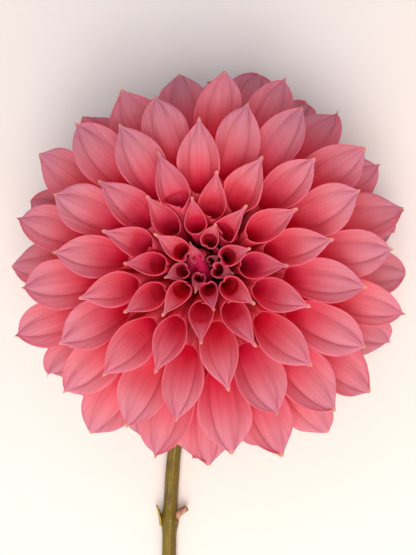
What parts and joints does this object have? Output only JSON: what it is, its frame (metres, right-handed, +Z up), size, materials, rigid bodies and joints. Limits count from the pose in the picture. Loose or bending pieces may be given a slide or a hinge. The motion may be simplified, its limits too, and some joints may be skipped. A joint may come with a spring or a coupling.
{
  "type": "dahlia flower",
  "caption": "Full double dahlia bloom of cupped, pointed coral-pink ray florets on a short cut stem, lying face up.",
  "frame": {"origin": "on the surface the flower lies on, under the middle of its bounding box", "axes": "+Z up out of the surface, the way the bloom faces; -Y along the stem towards its cut end; +X to the right of the bloom seen from above with the stem pointing down"},
  "size_m": [0.1198, 0.1792, 0.0648],
  "materials": {
    "young_petal": "satin",
    "coral_petal": "satin",
    "back_petal": "satin",
    "stem_green": "satin",
    "outer_bract_green": "satin",
    "inner_bract": "matte",
    "bud_scale_green": "matte",
    "leaf_stalk_dry": "matte"
  },
  "bodies": {
    "root": {"ray_floret_13": "coral_petal", "ray_floret_14": "coral_petal", "ray_floret_15": "coral_petal", "ray_floret_16": "coral_petal", "ray_floret_17": "coral_petal", "ray_floret_18": "coral_petal", "ray_floret_19": "coral_petal", "ray_floret_20": "coral_petal", "ray_floret_21": "coral_petal", "ray_floret_22": "coral_petal", "ray_floret_23": "coral_petal", "ray_floret_24": "coral_petal", "ray_floret_25": "coral_petal", "ray_floret_26": "coral_petal", "ray_floret_27": "coral_petal", "ray_floret_28": "coral_petal", "ray_floret_29": "coral_petal", "ray_floret_30": "coral_petal", "ray_floret_31": "coral_petal", "ray_floret_32": "coral_petal", "ray_floret_33": "coral_petal", "ray_floret_34": "coral_petal", "ray_floret_35": "coral_petal", "ray_floret_36": "coral_petal", "ray_floret_37": "coral_petal", "ray_floret_38": "coral_petal", "ray_floret_39": "coral_petal", "ray_floret_40": "coral_petal", "ray_floret_41": "coral_petal", "ray_floret_42": "coral_petal", "ray_floret_43": "coral_petal", "ray_floret_44": "coral_petal", "ray_floret_45": "coral_petal", "ray_floret_46": "coral_petal", "ray_floret_47": "coral_petal", "ray_floret_48": "coral_petal", "ray_floret_49": "coral_petal", "ray_floret_50": "coral_petal", "ray_floret_51": "coral_petal", "ray_floret_52": "coral_petal", "ray_floret_53": "coral_petal", "ray_floret_54": "coral_petal", "ray_floret_55": "coral_petal", "ray_floret_56": "coral_petal", "ray_floret_57": "coral_petal", "ray_floret_58": "coral_petal", "back_florets_upper": "back_petal", "back_florets_middle": "back_petal", "back_florets_lower": "back_petal", "young_florets": "young_petal", "receptacle": "stem_green", "stem": "stem_green", "inner_bracts": "inner_bract", "outer_bract_1": "outer_bract_green", "outer_bract_2": "outer_bract_green", "outer_bract_3": "outer_bract_green", "outer_bract_4": "outer_bract_green", "outer_bract_5": "outer_bract_green", "node_bud_scale": "bud_scale_green", "leaf_stalk_stub": "leaf_stalk_dry"}
  },
  "joints": []
}
